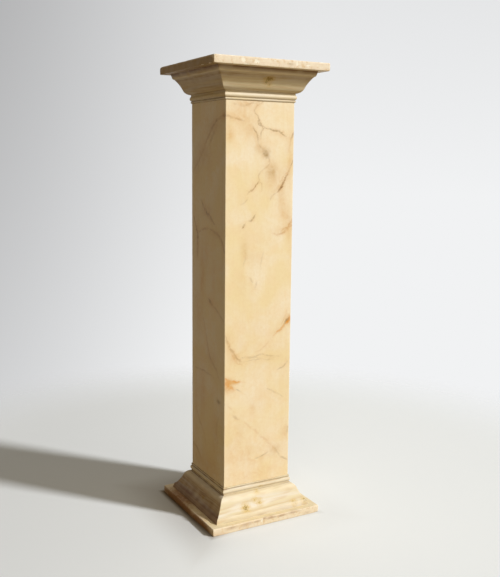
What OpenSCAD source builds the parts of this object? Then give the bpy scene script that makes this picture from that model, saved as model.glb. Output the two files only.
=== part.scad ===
// Square pedestal column: a hollow four-board shaft between a plinth board and
// a top board, with one sprung moulding and one thin beaded strip mitred round
// each end. Millimetres, +Z up, origin at the centre of the underside.

/* [Overall] */
// Height from the floor to the top surface
total_height = 1100; // [700:10:1600]
// Side of the square top board
top_board_width = 300; // [270:1:420]
// Side of the square plinth board on the floor
plinth_board_width = 296; // [270:1:420]
// Thickness of the top board and of the plinth board
board_thickness = 18; // [10:1:40]

/* [Shaft] */
// Outside width of the square shaft
shaft_width = 182; // [120:1:190]
// Thickness of the four shaft boards
shaft_board_thickness = 15; // [8:1:30]

/* [Crown and base moulding] */
// Height of the crown moulding, from its strip to the top board
crown_height = 50; // [46:1:70]
// Height of the base moulding, from the plinth board to its strip
base_moulding_height = 52; // [46:1:70]
// How far the moulding stands out from the shaft where it meets its board
moulding_projection = 39.4; // [36:0.2:42]
// How far the moulding stands out from the shaft where it meets its strip
foot_projection = 2.5; // [2:0.1:5]
// Radius of the rounded lower part of the moulding's face
ovolo_radius = 18; // [14:0.5:20]
// Direction of the face where the rounded part starts, degrees from level
ovolo_start = 8; // [0:1:20]
// Direction of the face where the rounded part gives way to the hollow part
ovolo_end = 69; // [64:1:72]
// Height of the flat fillet beside the board
fillet_height = 11; // [8:0.5:13]
// How far the fillet leans outwards over its height
fillet_lean = 3.5; // [0:0.5:5]
// Depth of the small step between the fillet and the hollow part
step_depth = 3.4; // [2:0.2:5]
// How far the small step slopes over its depth
step_slope = 2; // [0:0.5:3]
// Height of the seat where the moulding's back lies on the shaft
wall_seat = 20; // [10:1:26]
// Width of the seat where the moulding's edge lies on its board
board_seat = 17; // [10:1:24]

/* [Beaded strip] */
// Height of the strip
strip_height = 20.5; // [20:0.5:26]
// Thickness of the strip's flat part and under its wide bead
strip_thickness = 2; // [1.6:0.1:4]
// Flat left between the moulding and the wide bead
strip_flat = 4; // [1:0.5:4]
// Height of the wide bead
wide_bead_height = 10.5; // [8:0.5:10.5]
// How far the wide bead stands out from the flat
wide_bead_rise = 2.4; // [1:0.1:4]
// Height of the groove between the two beads
groove_height = 1.3; // [0.5:0.1:1.3]
// Depth of that groove below the flat
groove_depth = 0.7; // [0.3:0.1:1]
// Height of the narrow bead
narrow_bead_height = 4.4; // [2:0.2:4.6]
// How far the narrow bead stands out from the bottom of the groove
narrow_bead_rise = 1.3; // [0.5:0.1:2]

/* [Hidden] */

// sides are numbered round the column in quarter turns from the front
front = 0;
right = 1;
back = 2;
left = 3;
quarter_turn = 90;
curve_steps = 96;

shaft_half = shaft_width / 2;
shaft_length = total_height - 2 * board_thickness;
crown_foot = total_height - board_thickness - crown_height;
base_foot = board_thickness + base_moulding_height;

// moulding face, as [outwards from the shaft, from the strip towards the board]
foot = [foot_projection, 0];
ovolo_rise = [
    sin(ovolo_end) - sin(ovolo_start),
    cos(ovolo_start) - cos(ovolo_end)
];
turn = foot + ovolo_radius * ovolo_rise;

// strip face, as [outwards from the shaft, from the moulding towards mid-shaft]
wide_bead_start = strip_flat;
wide_bead_end = wide_bead_start + wide_bead_height;
narrow_bead_start = wide_bead_end + groove_height;
narrow_bead_end = narrow_bead_start + narrow_bead_height;
groove_floor = strip_thickness - groove_depth;
strip_projection = strip_thickness + wide_bead_rise;
wide_bead_radius = arc_radius(wide_bead_height, wide_bead_rise);
narrow_bead_radius = arc_radius(narrow_bead_height, narrow_bead_rise);

// radius of an arc from the length of its chord and its rise
function arc_radius(chord, rise) = (chord * chord / 4 + rise * rise) / (2 * rise);

// the sliver between an arc and its chord, on the left of the way from a to b
module arc_sliver(a, b, radius) {
    chord = b - a;
    span = norm(chord);
    leftwards = [-chord[1], chord[0]] / span;
    middle = (a + b) / 2;
    centre = middle - leftwards * sqrt(radius * radius - span * span / 4);
    intersection() {
        translate(centre)
            circle(r = radius, $fn = curve_steps);
        polygon([a, b, b + leftwards * span, a + leftwards * span]);
    }
}

module moulding_section(height) {
    fillet_top = [moulding_projection, height];
    fillet_foot = fillet_top - [fillet_lean, fillet_height];
    hollow_top = fillet_foot - [step_depth, step_slope];
    // the hollow arc leaves the rounded part without a break in direction
    hollow_chord = hollow_top - turn;
    off_tangent = hollow_chord[1] * cos(ovolo_end) - hollow_chord[0] * sin(ovolo_end);
    hollow_radius = hollow_chord * hollow_chord / (2 * abs(off_tangent));
    difference() {
        union() {
            polygon([
                [0, 0],
                foot,
                turn,
                hollow_top,
                fillet_foot,
                fillet_top,
                [moulding_projection - board_seat, height],
                [0, wall_seat]
            ]);
            arc_sliver(turn, foot, ovolo_radius);
        }
        arc_sliver(turn, hollow_top, hollow_radius);
    }
}

module strip_section() {
    union() {
        polygon([
            [0, 0],
            [strip_thickness, 0],
            [strip_thickness, wide_bead_end],
            [groove_floor, wide_bead_end],
            [groove_floor, strip_height],
            [0, strip_height]
        ]);
        arc_sliver([strip_thickness, wide_bead_end], [strip_thickness, wide_bead_start], wide_bead_radius);
        arc_sliver([groove_floor, narrow_bead_end], [groove_floor, narrow_bead_start], narrow_bead_radius);
    }
}

// a section run along the front face, cut at both ends by the corner mitres,
// then turned to its side; the section's second axis points up
module mitred_run(side, section_reach) {
    reach = shaft_half + section_reach;
    rotate([0, 0, side * quarter_turn])
        intersection() {
            translate([-reach, -shaft_half, 0])
                rotate([quarter_turn, 0, quarter_turn])
                    linear_extrude(height = 2 * reach)
                        mirror([1, 0])
                            children();
            translate([0, 0, -total_height])
                linear_extrude(height = 2 * total_height)
                    polygon([[0, 0], [-2 * reach, -2 * reach], [2 * reach, -2 * reach]]);
        }
}

module crown(side) {
    color("#e0cfa4")
        translate([0, 0, crown_foot])
            mitred_run(side, moulding_projection)
                moulding_section(crown_height);
}

module base_moulding(side) {
    color("#ecdcb2")
        translate([0, 0, base_foot])
            mirror([0, 0, 1])
                mitred_run(side, moulding_projection)
                    moulding_section(base_moulding_height);
}

module neck_strip(side) {
    color("#e6d5a8")
        translate([0, 0, crown_foot])
            mirror([0, 0, 1])
                mitred_run(side, strip_projection)
                    strip_section();
}

module base_strip(side) {
    color("#e6d5a8")
        translate([0, 0, base_foot])
            mitred_run(side, strip_projection)
                strip_section();
}

module shaft_board(side) {
    inner_half = shaft_half - shaft_board_thickness;
    color("#f0dbae")
        translate([0, 0, board_thickness])
            rotate([0, 0, side * quarter_turn])
                linear_extrude(height = shaft_length)
                    polygon([
                        [-shaft_half, -shaft_half],
                        [shaft_half, -shaft_half],
                        [inner_half, -inner_half],
                        [-inner_half, -inner_half]
                    ]);
}

module square_board(width) {
    translate([-width / 2, -width / 2, 0])
        cube([width, width, board_thickness]);
}

module top_board() {
    color("#efe6c8")
        translate([0, 0, total_height - board_thickness])
            square_board(top_board_width);
}

module plinth_board() {
    color("#e9d9a8")
        square_board(plinth_board_width);
}

top_board();
crown(front);  // crown_front
crown(right);  // crown_right
crown(back);  // crown_back
crown(left);  // crown_left
neck_strip(front);  // neck_strip_front
neck_strip(right);  // neck_strip_right
neck_strip(back);  // neck_strip_back
neck_strip(left);  // neck_strip_left
shaft_board(front);  // shaft_board_front
shaft_board(right);  // shaft_board_right
shaft_board(back);  // shaft_board_back
shaft_board(left);  // shaft_board_left
base_strip(front);  // base_strip_front
base_strip(right);  // base_strip_right
base_strip(back);  // base_strip_back
base_strip(left);  // base_strip_left
base_moulding(front);  // base_moulding_front
base_moulding(right);  // base_moulding_right
base_moulding(back);  // base_moulding_back
base_moulding(left);  // base_moulding_left
plinth_board();
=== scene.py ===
"""A square wooden pedestal column, painted to look like cream marble, with washed pine mouldings."""

import math

import bmesh
import bpy
import numpy as np
from mathutils import Matrix, Vector, noise


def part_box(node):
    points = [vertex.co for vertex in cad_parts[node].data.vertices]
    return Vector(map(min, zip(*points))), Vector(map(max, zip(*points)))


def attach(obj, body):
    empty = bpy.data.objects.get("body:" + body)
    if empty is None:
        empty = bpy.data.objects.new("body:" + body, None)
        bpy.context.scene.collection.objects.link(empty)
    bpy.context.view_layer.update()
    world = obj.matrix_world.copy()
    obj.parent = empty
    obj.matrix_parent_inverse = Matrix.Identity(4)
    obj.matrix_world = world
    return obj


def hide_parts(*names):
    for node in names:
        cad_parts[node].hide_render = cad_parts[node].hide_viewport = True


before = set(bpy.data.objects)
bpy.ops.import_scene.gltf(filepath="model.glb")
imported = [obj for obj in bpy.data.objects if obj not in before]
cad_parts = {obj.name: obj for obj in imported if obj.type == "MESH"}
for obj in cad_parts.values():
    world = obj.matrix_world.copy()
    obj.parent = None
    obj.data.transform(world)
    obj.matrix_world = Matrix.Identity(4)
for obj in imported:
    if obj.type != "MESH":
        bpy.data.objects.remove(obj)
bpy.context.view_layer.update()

MM = 0.001
SIDES = ("front", "right", "back", "left")


# ---------------------------------------------------------------- measures

shaft_low, shaft_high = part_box("shaft_board_front")
SHAFT_HALF = shaft_high[0]
SHAFT_FOOT = shaft_low[2]
SHAFT_HEAD = shaft_high[2]
SHAFT_WALL = shaft_high[1] - shaft_low[1]
PLINTH_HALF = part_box("plinth_board")[1][0]

# how far each arris is eased
SHAFT_ARRIS = 1.3 * MM
MITRE_ARRIS = 1.2 * MM
MOULDING_ARRIS = 0.7 * MM
BOARD_ARRIS = 1.5 * MM

# points closer than WELD are joined, and a cut takes in points closer than HAIR
WELD = 0.005 * MM
HAIR = 0.001 * MM


# ---------------------------------------------------------------- nodes for materials


def linear(code):
    """An sRGB hex colour as the linear colour that sockets take."""
    parts = [int(code[i : i + 2], 16) / 255 for i in (1, 3, 5)]
    return [c / 12.92 if c <= 0.04045 else ((c + 0.055) / 1.055) ** 2.4 for c in parts] + [1.0]


def put(tree, kind, wires=(), out=0, **settings):
    """Adds a node with its settings and its inputs' values or links, and gives back one output."""
    new = tree.nodes.new(kind)
    for name, value in settings.items():
        setattr(new, name, value)
    for name, value in dict(wires).items():
        if isinstance(value, bpy.types.NodeSocket):
            tree.links.new(value, new.inputs[name])
        else:
            new.inputs[name].default_value = value
    return new.outputs[out] if len(new.outputs) else new


# settings that many nodes share: a Mix of two colours, and a Map Range that eases in and out
TWO_COLOURS = {"out": 2, "data_type": "RGBA"}
EASED = {"interpolation_type": "SMOOTHSTEP"}


def noted(tree, label):
    """The three outputs for the numbers that a piece's points carry under a label."""
    numbers = put(tree, "ShaderNodeAttribute", out="Vector", attribute_name=label)
    return put(tree, "ShaderNodeSeparateXYZ", {0: numbers}).node.outputs


def new_material(name):
    """An empty node material and its tree."""
    material = bpy.data.materials.new(name)
    material.use_nodes = True
    material.node_tree.nodes.clear()
    return material, material.node_tree


# ---------------------------------------------------------------- materials


def marbled_paint():
    """Faux marble: oil glaze clouded and veined by hand on a primed board, under satin varnish.
    The eye sees soft cream and honey clouds, thin broken brown veins and a low, even sheen."""
    material, t = new_material("marbled_oil_glaze_under_satin_varnish")
    place = put(t, "ShaderNodeTexCoord", out="Object")

    # clouds of honey and pale cream about 120 mm across, and smaller warm ones of about 45 mm
    clouds = put(
        t,
        "ShaderNodeTexNoise",
        {"Vector": place, "Scale": 8.5, "Detail": 3.0, "Roughness": 0.55, "Distortion": 0.5},
    )
    clouds = put(t, "ShaderNodeMapRange", {"Value": clouds, 1: 0.38, 2: 0.64}, **EASED)
    drift = put(
        t,
        "ShaderNodeTexNoise",
        {"Vector": place, "Scale": 22.0, "Detail": 3.0, "Roughness": 0.6, "Distortion": 0.3},
    )
    drift = put(t, "ShaderNodeMapRange", {"Value": drift, 1: 0.44, 2: 0.7, 4: 0.55}, **EASED)
    colour = put(t, "ShaderNodeMix", {0: clouds, 6: linear("#f4e7cd"), 7: linear("#f0deb2")}, **TWO_COLOURS)
    colour = put(t, "ShaderNodeMix", {0: drift, 6: colour, 7: linear("#f1dab2")}, **TWO_COLOURS)
    # a dry brush dragged down the board: streaks about 9 mm wide and 250 mm long
    drag = put(t, "ShaderNodeMapping", {"Vector": place, "Scale": (110.0, 110.0, 4.0)})
    drag = put(t, "ShaderNodeTexNoise", {"Vector": drag, "Scale": 1.0, "Detail": 3.0, "Roughness": 0.6})
    streaks = put(t, "ShaderNodeMapRange", {"Value": drag, 1: 0.35, 2: 0.7, 4: 0.24})
    colour = put(t, "ShaderNodeMix", {0: streaks, 6: colour, 7: linear("#ead3a3")}, **TWO_COLOURS)
    # dabs of a sponge, about 8 mm, over parts of the board
    dabs = put(t, "ShaderNodeTexNoise", {"Vector": place, "Scale": 120.0, "Detail": 4.0, "Roughness": 0.65})
    dabbed = put(t, "ShaderNodeMapRange", {"Value": dabs, 1: 0.42, 2: 0.7, 4: 0.3})
    colour = put(t, "ShaderNodeMix", {0: dabbed, 6: colour, 7: linear("#e6cd9a")}, **TWO_COLOURS)

    # stains wiped into the glaze: warm, grey and orange ones
    warm, grey, ochre = noted(t, "stain")
    feather = put(
        t,
        "ShaderNodeTexNoise",
        {"Vector": place, "Scale": 48.0, "Detail": 4.0, "Roughness": 0.65, "Distortion": 0.9},
    )
    feather = put(t, "ShaderNodeMapRange", {"Value": feather, 1: 0.3, 2: 0.7, 3: 0.35, 4: 1.35})
    for stain, shade in ((warm, "#dcb47a"), (ochre, "#dd9c38"), (grey, "#a08a62")):
        amount = put(t, "ShaderNodeMath", {0: stain, 1: feather}, operation="MULTIPLY", use_clamp=True)
        colour = put(t, "ShaderNodeMix", {0: amount, 6: colour, 7: linear(shade)}, **TWO_COLOURS)

    # veins drawn with a fine brush: side and gap are millimetres from the vein's middle line
    side, gap, width = noted(t, "vein")
    strength, greyness, orange = noted(t, "vein_look")
    shake = put(t, "ShaderNodeTexNoise", {"Vector": place, "Scale": 170.0, "Detail": 3.0, "Roughness": 0.6})
    shake = put(t, "ShaderNodeMapRange", {"Value": shake, 1: 0.25, 2: 0.75, 3: -1.6, 4: 1.6})
    off = put(t, "ShaderNodeMath", {0: side, 1: shake}, operation="ADD")
    off = put(t, "ShaderNodeMath", {0: off}, operation="ABSOLUTE")
    beyond = put(t, "ShaderNodeMath", {0: gap, 1: 2.0}, operation="SUBTRACT")
    off = put(t, "ShaderNodeMath", {0: off, 1: beyond}, operation="MAXIMUM")
    core = put(t, "ShaderNodeMath", {0: width, 1: 0.28}, operation="MULTIPLY")
    edge = put(t, "ShaderNodeMath", {0: width, 1: 0.95, 2: 1.1}, operation="MULTIPLY_ADD")
    line = put(t, "ShaderNodeMapRange", {"Value": off, 1: core, 2: edge, 3: 1.0, 4: 0.0}, **EASED)
    breaks = put(t, "ShaderNodeTexNoise", {"Vector": place, "Scale": 62.0, "Detail": 4.0, "Roughness": 0.65})
    breaks = put(t, "ShaderNodeMapRange", {"Value": breaks, 1: 0.36, 2: 0.6, 3: 0.3, 4: 1.1}, **EASED)
    for share in (breaks, strength):
        line = put(t, "ShaderNodeMath", {0: line, 1: share}, operation="MULTIPLY")
    line = put(t, "ShaderNodeMath", {0: line, 1: 0.85}, operation="MULTIPLY", use_clamp=True)
    # glaze dragged off a vein: a soft smear on both sides, and a wider one on its lower side
    halo_width = put(t, "ShaderNodeMath", {0: width, 1: 2.4, 2: 4.0}, operation="MULTIPLY_ADD")
    halo = put(t, "ShaderNodeMapRange", {"Value": gap, 1: 0.0, 2: halo_width, 3: 0.5, 4: 0.0}, **EASED)
    smear = put(t, "ShaderNodeMapRange", {"Value": side, 1: -16.0, 2: -1.0, 3: 0.0, 4: 0.45}, **EASED)
    below = put(t, "ShaderNodeMath", {0: side, 1: 0.0}, operation="LESS_THAN")
    smear = put(t, "ShaderNodeMath", {0: smear, 1: below}, operation="MULTIPLY")
    halo = put(t, "ShaderNodeMath", {0: halo, 1: smear}, operation="MAXIMUM")
    halo = put(t, "ShaderNodeMath", {0: halo, 1: strength}, operation="MULTIPLY")
    halo = put(t, "ShaderNodeMath", {0: halo, 1: feather}, operation="MULTIPLY", use_clamp=True)
    colour = put(t, "ShaderNodeMix", {0: halo, 6: colour, 7: linear("#d9ae72")}, **TWO_COLOURS)
    thin = put(t, "ShaderNodeMix", {0: greyness, 6: linear("#b88a50"), 7: linear("#937d54")}, **TWO_COLOURS)
    thick = put(t, "ShaderNodeMix", {0: greyness, 6: linear("#835622"), 7: linear("#63522f")}, **TWO_COLOURS)
    pigment = put(t, "ShaderNodeMix", {0: line, 6: thin, 7: thick}, **TWO_COLOURS)
    pigment = put(t, "ShaderNodeMix", {0: orange, 6: pigment, 7: linear("#d98d22")}, **TWO_COLOURS)
    colour = put(t, "ShaderNodeMix", {0: line, 6: colour, 7: pigment}, **TWO_COLOURS)

    # arrises handled pale, where the varnish has worn
    worn = put(t, "ShaderNodeAttribute", out="Fac", attribute_name="worn")
    worn = put(t, "ShaderNodeMath", {0: worn, 1: feather}, operation="MULTIPLY", use_clamp=True)
    colour = put(t, "ShaderNodeMix", {0: worn, 6: colour, 7: linear("#f6e8c9")}, **TWO_COLOURS)

    # brush strokes along the board, about 1.5 mm apart, felt more than seen
    strokes = put(t, "ShaderNodeMapping", {"Vector": place, "Scale": (650.0, 650.0, 14.0)})
    strokes = put(t, "ShaderNodeTexNoise", {"Vector": strokes, "Scale": 1.0, "Detail": 2.0})
    relief = put(t, "ShaderNodeMath", {0: strokes, 1: 0.5, 2: dabs}, operation="MULTIPLY_ADD")
    bump = put(t, "ShaderNodeBump", {"Height": relief, "Strength": 0.12, "Distance": 0.0006})
    sheen = put(t, "ShaderNodeMapRange", {"Value": dabs, 1: 0.3, 2: 0.7, 3: 0.4, 4: 0.52})
    finish = {"IOR": 1.5, "Specular IOR Level": 0.3, "Coat Weight": 0.04, "Coat Roughness": 0.3}
    varnish = put(
        t,
        "ShaderNodeBsdfPrincipled",
        {"Base Color": colour, "Roughness": sheen, "Normal": bump, **finish},
    )
    put(t, "ShaderNodeOutputMaterial", {"Surface": varnish})
    return material


def pine_figure(t, lay, ring_width):
    """Year rings round a slanting pith that lies 45 mm off, and fine fibres between them."""
    sway = put(t, "ShaderNodeMapping", {"Vector": lay, "Scale": (5.0, 24.0, 24.0)})
    sway = put(
        t, "ShaderNodeTexNoise", {"Vector": sway, "Scale": 1.0, "Detail": 2.0, "Roughness": 0.5}, out=1
    )
    sway = put(t, "ShaderNodeVectorMath", {0: sway, 1: (0.0, 0.02, 0.02)}, operation="MULTIPLY")
    swayed = put(t, "ShaderNodeVectorMath", {0: lay, 1: sway}, operation="ADD")
    parts = put(t, "ShaderNodeSeparateXYZ", {0: swayed}).node.outputs
    slant = put(t, "ShaderNodeMath", {0: parts[0], 1: 0.045, 2: parts[1]}, operation="MULTIPLY_ADD")
    section = put(t, "ShaderNodeCombineXYZ", {"Y": slant, "Z": parts[2]})
    pith = put(t, "ShaderNodeVectorMath", {0: section, 1: (0.0, 0.045, 0.0)}, operation="ADD")
    depth = put(t, "ShaderNodeVectorMath", {0: pith}, out="Value", operation="LENGTH")
    count = put(t, "ShaderNodeMath", {0: depth, 1: ring_width}, operation="DIVIDE")
    year = put(t, "ShaderNodeMath", {0: count}, operation="FRACT")
    # pale early wood darkens slowly to late wood, then stops short at winter
    late = put(t, "ShaderNodeMapRange", {"Value": year, 1: 0.25, 2: 0.86}, **EASED)
    winter = put(t, "ShaderNodeMapRange", {"Value": year, 1: 0.88, 2: 1.0, 3: 1.0, 4: 0.0}, **EASED)
    rings = put(t, "ShaderNodeMath", {0: late, 1: winter}, operation="MULTIPLY")
    # fibres under a millimetre wide are drawn about 2 mm wide so that they show
    fibre = put(t, "ShaderNodeMapping", {"Vector": lay, "Scale": (12.0, 420.0, 420.0)})
    fibre = put(t, "ShaderNodeTexNoise", {"Vector": fibre, "Scale": 1.0, "Detail": 4.0, "Roughness": 0.6})
    fibre = put(t, "ShaderNodeMapRange", {"Value": fibre, 1: 0.35, 2: 0.7})
    return rings, fibre


def washed_pine():
    """Machined pine moulding under one thin coat of cream wash, rubbed back.
    The eye sees the pine's long yellow grain and its knots through pale cream, with a dull satin surface."""
    material, t = new_material("cream_washed_pine")
    lay = put(t, "ShaderNodeAttribute", out="Vector", attribute_name="lay")
    knot = put(t, "ShaderNodeAttribute", out="Fac", attribute_name="knot")
    rings, fibre = pine_figure(t, lay, ring_width=0.0062)
    # the wash lies thicker in some places, in streaks about 13 mm wide and 200 mm long
    wash = put(t, "ShaderNodeMapping", {"Vector": lay, "Scale": (5.0, 75.0, 75.0)})
    wash = put(
        t,
        "ShaderNodeTexNoise",
        {"Vector": wash, "Scale": 1.0, "Detail": 4.0, "Roughness": 0.6, "Distortion": 0.5},
    )
    wash = put(t, "ShaderNodeMapRange", {"Value": wash, 1: 0.38, 2: 0.62}, **EASED)

    wood = put(t, "ShaderNodeMix", {0: rings, 6: linear("#d9c893"), 7: linear("#c8a763")}, **TWO_COLOURS)
    fibre_amount = put(t, "ShaderNodeMath", {0: fibre, 1: 0.22}, operation="MULTIPLY")
    wood = put(t, "ShaderNodeMix", {0: fibre_amount, 6: wood, 7: linear("#bd9350")}, **TWO_COLOURS)
    cover = put(t, "ShaderNodeMapRange", {"Value": wash, 3: 0.42, 4: 0.93})
    colour = put(t, "ShaderNodeMix", {0: cover, 6: wood, 7: linear("#ded5c3")}, **TWO_COLOURS)

    # knots: olive-brown heart, ochre ring and a warm bruise drawn out along the grain
    ragged = put(t, "ShaderNodeTexNoise", {"Vector": lay, "Scale": 300.0, "Detail": 3.0})
    ragged = put(t, "ShaderNodeMapRange", {"Value": ragged, 1: 0.2, 2: 0.8, 3: -0.8, 4: 0.8})
    knot = put(t, "ShaderNodeMath", {0: knot, 1: ragged}, operation="ADD")
    bruise = put(t, "ShaderNodeMapRange", {"Value": knot, 1: 0.7, 2: 2.8, 3: 0.75, 4: 0.0}, **EASED)
    heart = put(t, "ShaderNodeMapRange", {"Value": knot, 1: 0.5, 2: 1.25, 3: 0.9, 4: 0.0}, **EASED)
    for mark, shade in ((bruise, "#d0b062"), (heart, "#927a36")):
        colour = put(t, "ShaderNodeMix", {0: mark, 6: colour, 7: linear(shade)}, **TWO_COLOURS)

    # browned wood, pale rubbed arrises and dark quirks: partly age, wear and dirt, and partly painted shade
    # in the recesses and on the shaded side, with a painted highlight on the crown's turn
    rubbed, dirt_and_shade, aged_and_shade = noted(t, "wear_and_painted_light")
    aged_and_shade = put(t, "ShaderNodeMath", {0: aged_and_shade, 1: fibre, 2: aged_and_shade}, operation="MULTIPLY_ADD")
    for mark, most, shade in ((aged_and_shade, 0.55, "#8c6533"), (rubbed, 0.7, "#efe2c6"), (dirt_and_shade, 0.85, "#744a22")):
        amount = put(t, "ShaderNodeMath", {0: mark, 1: most}, operation="MULTIPLY", use_clamp=True)
        colour = put(t, "ShaderNodeMix", {0: amount, 6: colour, 7: linear(shade)}, **TWO_COLOURS)

    relief = put(t, "ShaderNodeMath", {0: rings, 1: fibre}, operation="ADD")
    bump = put(t, "ShaderNodeBump", {"Height": relief, "Strength": 0.18, "Distance": 0.0005})
    rough = put(t, "ShaderNodeMapRange", {"Value": wash, 3: 0.58, 4: 0.48})
    pine = put(
        t,
        "ShaderNodeBsdfPrincipled",
        {"Base Color": colour, "Roughness": rough, "Normal": bump, "IOR": 1.5, "Specular IOR Level": 0.25},
    )
    put(t, "ShaderNodeOutputMaterial", {"Surface": pine})
    return material


def painted_board(name, paint, wood, scuff_and_shade_colour, flaking):
    """A glued softwood board under old cream oil paint, chipped at the arrises and worn through in brown
    patches.
    The eye sees an uneven cream skin, bare yellow wood and pale chips along the edges, and brown patches of
    old dirt, with painted shade where they cover a whole side."""
    material, t = new_material(name)
    lay = put(t, "ShaderNodeAttribute", out="Vector", attribute_name="lay")
    place = put(t, "ShaderNodeTexCoord", out="Object")
    rubbed, edge_on, scuffed_and_shaded = noted(t, "wear_and_painted_light")
    rings, fibre = pine_figure(t, lay, ring_width=0.008)
    grain = put(t, "ShaderNodeMix", {0: rings, 6: linear(wood), 7: linear("#c39449")}, **TWO_COLOURS)

    # uneven paint, in patches about 20 mm wide and 65 mm long
    skin = put(t, "ShaderNodeMapping", {"Vector": lay, "Scale": (0.4, 1.3, 1.3)})
    skin = put(
        t,
        "ShaderNodeTexNoise",
        {"Vector": skin, "Scale": 38.0, "Detail": 4.0, "Roughness": 0.6, "Distortion": 0.4},
    )
    skin = put(t, "ShaderNodeMapRange", {"Value": skin, 1: 0.34, 2: 0.66}, **EASED)
    cover = put(t, "ShaderNodeMapRange", {"Value": skin, 3: 0.92, 4: 0.6})
    colour = put(t, "ShaderNodeMix", {0: cover, 6: grain, 7: linear(paint)}, **TWO_COLOURS)

    # the edges' paint has chalked, paler and pinker than the flats
    chalked = put(t, "ShaderNodeMath", {0: edge_on, 1: 0.35}, operation="MULTIPLY")
    colour = put(t, "ShaderNodeMix", {0: chalked, 6: colour, 7: linear("#f2e4da")}, **TWO_COLOURS)

    # flakes of paint and bare flecks of 4 to 8 mm, most of them on the edges
    ragged = put(t, "ShaderNodeTexNoise", {"Vector": place, "Scale": 150.0, "Detail": 4.0, "Roughness": 0.7})
    pale = put(t, "ShaderNodeMapRange", {"Value": ragged, 1: 0.52, 2: 0.64, 4: flaking}, **EASED)
    bare = put(t, "ShaderNodeMapRange", {"Value": ragged, 1: 0.36, 2: 0.46, 3: flaking, 4: 0.0}, **EASED)
    on_edge = put(t, "ShaderNodeMath", {0: edge_on, 1: 0.7, 2: 0.3}, operation="MULTIPLY_ADD")
    for mark, shade in ((bare, "#d6b57c"), (pale, "#f3e9d0")):
        flakes = put(t, "ShaderNodeMath", {0: mark, 1: on_edge}, operation="MULTIPLY")
        colour = put(t, "ShaderNodeMix", {0: flakes, 6: colour, 7: linear(shade)}, **TWO_COLOURS)

    # brown patches that went through the paint, with old dirt, and painted shade where they are laid over a
    # whole side that stands in shade
    rubbing = put(t, "ShaderNodeMath", {0: ragged, 1: 1.6, 2: 0.2}, operation="MULTIPLY_ADD")
    scuff_and_shade = put(t, "ShaderNodeMath", {0: scuffed_and_shaded, 1: rubbing}, operation="MULTIPLY")
    scuff_and_shade = put(t, "ShaderNodeMapRange", {"Value": scuff_and_shade, 1: 0.1, 2: 0.95, 3: 0.0, 4: 0.95}, **EASED)
    colour = put(t, "ShaderNodeMix", {0: scuff_and_shade, 6: colour, 7: linear(scuff_and_shade_colour)}, **TWO_COLOURS)

    # pale chips where the paint has come off to the white ground
    chip = put(t, "ShaderNodeMath", {0: rubbed, 1: rubbing}, operation="MULTIPLY")
    chip = put(t, "ShaderNodeMapRange", {"Value": chip, 1: 0.55, 2: 0.72}, **EASED)
    colour = put(t, "ShaderNodeMix", {0: chip, 6: colour, 7: linear("#f8f1de")}, **TWO_COLOURS)

    relief = put(t, "ShaderNodeMath", {0: chip, 1: -1.4, 2: skin}, operation="MULTIPLY_ADD")
    relief = put(t, "ShaderNodeMath", {0: flakes, 1: 0.8, 2: relief}, operation="MULTIPLY_ADD")
    bump = put(t, "ShaderNodeBump", {"Height": relief, "Strength": 0.35, "Distance": 0.0006})
    rough = put(t, "ShaderNodeMapRange", {"Value": skin, 3: 0.46, 4: 0.62})
    surface = put(
        t,
        "ShaderNodeBsdfPrincipled",
        {"Base Color": colour, "Roughness": rough, "Normal": bump, "IOR": 1.5, "Specular IOR Level": 0.25},
    )
    put(t, "ShaderNodeOutputMaterial", {"Surface": surface})
    return material


# ---------------------------------------------------------------- shaping tools


def cad_copy(name, side=0):
    """A node's own shape, turned so that its side faces front, with its triangles joined into flat faces."""
    bm = bmesh.new()
    bm.from_mesh(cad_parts[name].data)
    bmesh.ops.remove_doubles(bm, verts=bm.verts, dist=WELD)
    bmesh.ops.rotate(bm, verts=bm.verts, cent=(0, 0, 0), matrix=Matrix.Rotation(-side * math.pi / 2, 3, "Z"))
    bmesh.ops.dissolve_limit(bm, angle_limit=math.radians(0.5), verts=bm.verts, edges=bm.edges)
    return bm


def cut(bm, point, normal):
    """A cut through the whole piece along a plane, which keeps both sides."""
    everything = bm.verts[:] + bm.edges[:] + bm.faces[:]
    bmesh.ops.bisect_plane(bm, geom=everything, dist=HAIR, plane_co=point, plane_no=normal)


def slice_up(bm, axis, places):
    """Cuts square across an axis, one at each place."""
    normal = Vector([1.0 if i == axis else 0.0 for i in range(3)])
    for place in places:
        cut(bm, normal * place, normal)


def ripple(point, size, seed=0.0):
    """Smooth noise from about -1 to 1 whose lumps are size metres across."""
    return noise.noise(Vector(point) / size + Vector((seed, 2.3 * seed, -seed)))


def round_corner(bm, radius):
    """Rounds the upright corner that this piece shares with its neighbours at the 45 degree mitre."""
    for v in bm.verts:
        reach = -v.co.y
        along = abs(v.co.x)
        from_mitre = reach - along
        r = radius * (1.0 + 0.45 * ripple((0, 0, v.co.z), 0.03, 4.0 + (v.co.x > 0)))
        if reach <= 0 or from_mitre >= r or from_mitre < -1e-6:
            continue
        angle = math.radians(45) * (1 - max(from_mitre, 0) / r)
        v.co.y = -(reach - r + r * math.cos(angle))
        v.co.x = math.copysign(reach - r + r * math.sin(angle), v.co.x)


def sharp_lines(bm, degrees=28):
    """Smooth shading, broken at the real edges."""
    for f in bm.faces:
        f.smooth = True
    for e in bm.edges:
        e.smooth = len(e.link_faces) == 2 and e.calc_face_angle(0) < math.radians(degrees)


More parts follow.
